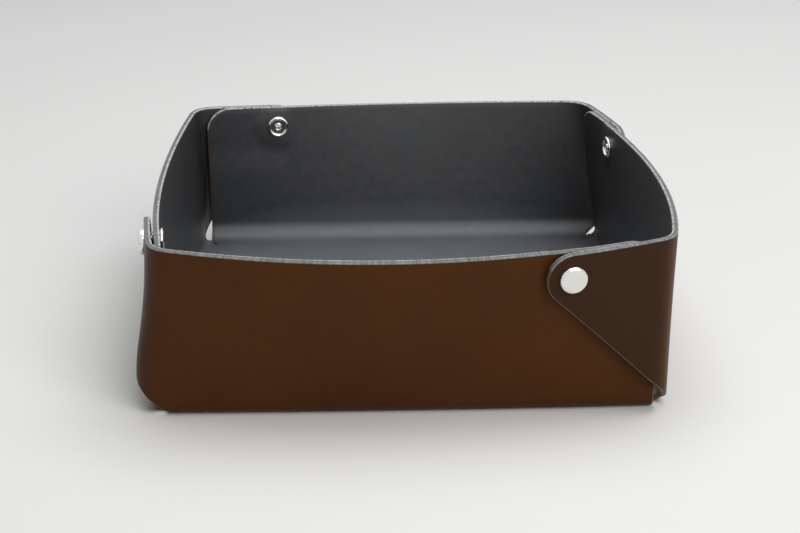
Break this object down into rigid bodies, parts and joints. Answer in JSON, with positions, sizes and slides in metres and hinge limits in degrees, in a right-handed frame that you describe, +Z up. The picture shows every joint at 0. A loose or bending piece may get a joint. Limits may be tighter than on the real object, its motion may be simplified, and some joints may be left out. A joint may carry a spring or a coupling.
{
  "type": "leather valet tray",
  "caption": "Square valet tray folded from one sheet of brown leather with a smooth black lining, its corners wrapped round and closed by nickel press snaps.",
  "frame": {"origin": "middle of the flat underside, between the outer faces of the walls at their foot", "axes": "+X to the right along the front wall, +Y from front to back, +Z up out of the tray"},
  "size_m": [0.2459, 0.2568, 0.0795],
  "materials": {
    "brown_leather": "smooth, semi-matt, burnished edges",
    "black_lining": "smooth, soft sheen",
    "nickel": "polished nickel"
  },
  "bodies": {
    "root": {"tray_leather": "brown_leather", "tray_lining": "black_lining", "snap_stud_front_right": "nickel", "snap_stud_back_right": "nickel", "snap_stud_back_left": "nickel", "snap_stud_front_left": "nickel", "snap_post_front_right": "nickel", "snap_post_back_right": "nickel", "snap_post_back_left": "nickel", "snap_post_front_left": "nickel"},
    "flap_front_right": {"flap_leather_front_right": "brown_leather", "flap_lining_front_right": "black_lining", "snap_cap_front_right": "nickel", "snap_socket_front_right": "nickel"},
    "flap_back_right": {"flap_leather_back_right": "brown_leather", "flap_lining_back_right": "black_lining", "snap_cap_back_right": "nickel", "snap_socket_back_right": "nickel"},
    "flap_back_left": {"flap_leather_back_left": "brown_leather", "flap_lining_back_left": "black_lining", "snap_cap_back_left": "nickel", "snap_socket_back_left": "nickel"},
    "flap_front_left": {"flap_leather_front_left": "brown_leather", "flap_lining_front_left": "black_lining", "snap_cap_front_left": "nickel", "snap_socket_front_left": "nickel"}
  },
  "joints": [
    {"name": "hinge_front_right", "type": "hinge", "parent": "root", "child": "flap_front_right", "pos_m": [0.11315, -0.11311, 0.04465], "axis": [0.0255, 0.1008, 0.9946], "range_deg": [0, 90]},
    {"name": "hinge_back_right", "type": "hinge", "parent": "root", "child": "flap_back_right", "pos_m": [0.10923, 0.11373, 0.04494], "axis": [-0.1989, 0.0411, 0.9792], "range_deg": [0, 90]},
    {"name": "hinge_back_left", "type": "hinge", "parent": "root", "child": "flap_back_left", "pos_m": [-0.11275, 0.11432, 0.04465], "axis": [-0.0145, -0.0877, 0.996], "range_deg": [0, 90]},
    {"name": "hinge_front_left", "type": "hinge", "parent": "root", "child": "flap_front_left", "pos_m": [-0.11336, -0.1134, 0.04474], "axis": [0.1446, -0.0342, 0.9889], "range_deg": [0, 90]}
  ]
}
